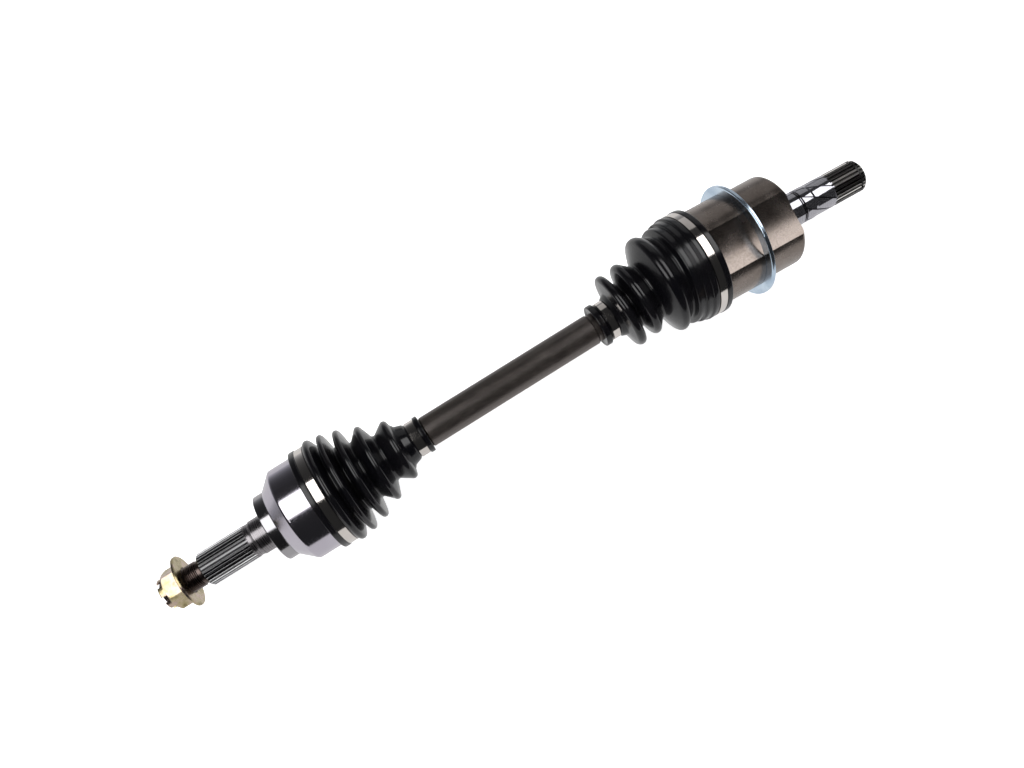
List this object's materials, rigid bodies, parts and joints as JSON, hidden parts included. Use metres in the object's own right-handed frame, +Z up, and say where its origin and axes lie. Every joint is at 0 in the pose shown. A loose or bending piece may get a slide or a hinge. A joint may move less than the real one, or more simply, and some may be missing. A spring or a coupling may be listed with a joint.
{
  "type": "cv axle",
  "caption": "Car half shaft: a ball joint with a splined, threaded hub stub, a solid bar, and a sliding tripod joint with a splined gearbox stub, both joints sealed by folded rubber boots.",
  "frame": {"origin": "on the axle line at the middle of the bearing journal on the hub stub", "axes": "+X along the bar from the hub end to the gearbox end, +Z up; the gearbox joint droops 5.1 degrees towards -Z as the axle lies"},
  "size_m": [0.6799, 0.1012, 0.1025],
  "materials": {
    "bell_steel": "machined forging, induction-hardened, lightly oiled, with a cool sheen",
    "nut_zinc": "yellow passivated zinc plate",
    "bearing_steel": "ground bearing steel, greased",
    "cage_steel": "machined, hardened",
    "spring_steel": "phosphated spring steel",
    "bar_phosphate": "dark phosphate, semi-gloss oiled",
    "housing_phosphate": "turned forging with a brown-grey phosphate",
    "bush_plastic": "moulded black adapter",
    "ring_zinc": "blue passivated zinc plate",
    "boot_rubber": "moulded black rubber, semi-gloss",
    "band_steel": "stainless band"
  },
  "bodies": {
    "bar": {"bar_shaft": "bar_phosphate", "inner_race": "bearing_steel", "race_circlip": "spring_steel", "spider_circlip": "spring_steel", "tripod_spider": "bearing_steel", "roller_clip_1": "spring_steel", "roller_clip_2": "spring_steel", "roller_clip_3": "spring_steel", "outer_small_clamp": "band_steel", "inner_small_clamp": "band_steel"},
    "outer_end": {"outer_housing": "bell_steel", "outer_boot": "boot_rubber", "outer_large_clamp": "band_steel"},
    "cage": {"ball_cage": "cage_steel", "ball_1": "bearing_steel", "ball_2": "bearing_steel", "ball_3": "bearing_steel", "ball_4": "bearing_steel", "ball_5": "bearing_steel", "ball_6": "bearing_steel"},
    "nut_seat": {"nut_washer": "nut_zinc"},
    "nut": {"hub_nut": "nut_zinc"},
    "inner_sleeve": {"inner_boot": "boot_rubber"},
    "inner_end": {"inner_housing": "housing_phosphate", "housing_bush": "bush_plastic", "dust_ring": "ring_zinc", "stub_circlip": "spring_steel", "inner_large_clamp": "band_steel"},
    "roller_1_body": {"roller_1": "bearing_steel", "needles_1": "bearing_steel"},
    "roller_2_body": {"roller_2": "bearing_steel", "needles_2": "bearing_steel"},
    "roller_3_body": {"roller_3": "bearing_steel", "needles_3": "bearing_steel"}
  },
  "joints": [
    {"name": "outer_bend", "type": "hinge", "parent": "bar", "child": "outer_end", "pos_m": [0.04, 0, 0], "axis": [0, 0, 1], "range_deg": [-45, 45], "deforming": ["outer_boot"]},
    {"name": "cage_follow", "type": "hinge", "parent": "bar", "child": "cage", "pos_m": [0.04, 0, 0], "axis": [0, 0, 1], "range_deg": [-22.5, 22.5]},
    {"name": "nut_travel", "type": "slide", "parent": "outer_end", "child": "nut_seat", "axis": [-1, 0, 0], "range_m": [-0.012, 0.024]},
    {"name": "nut_turn", "type": "hinge", "parent": "nut_seat", "child": "nut", "pos_m": [-0.08, 0, 0], "axis": [-1, 0, 0], "range_deg": [-2880, 5760]},
    {"name": "inner_bend", "type": "hinge", "parent": "bar", "child": "inner_sleeve", "pos_m": [0.446, 0, 0], "axis": [0, 1, 0], "range_deg": [-25.1, 14.9], "deforming": ["inner_boot"]},
    {"name": "inner_plunge", "type": "slide", "parent": "inner_sleeve", "child": "inner_end", "axis": [0.996, 0, -0.0889], "range_m": [-0.012, 0.014]},
    {"name": "roller_1_spin", "type": "hinge", "parent": "bar", "child": "roller_1_body", "pos_m": [0.446, -0.02662, -0.0045], "axis": [0, -0.986, -0.1668], "continuous": true},
    {"name": "roller_2_spin", "type": "hinge", "parent": "bar", "child": "roller_2_body", "pos_m": [0.446, 0.01721, -0.0208], "axis": [0, 0.6374, -0.7705], "continuous": true},
    {"name": "roller_3_spin", "type": "hinge", "parent": "bar", "child": "roller_3_body", "pos_m": [0.446, 0.00941, 0.02531], "axis": [0, 0.3486, 0.9373], "continuous": true}
  ],
  "couplings": [
    {"joint": "cage_follow", "follows": "outer_bend", "ratio": 0.5},
    {"joint": "nut_turn", "follows": "nut_travel", "rad_per_m": 4188.8}
  ]
}
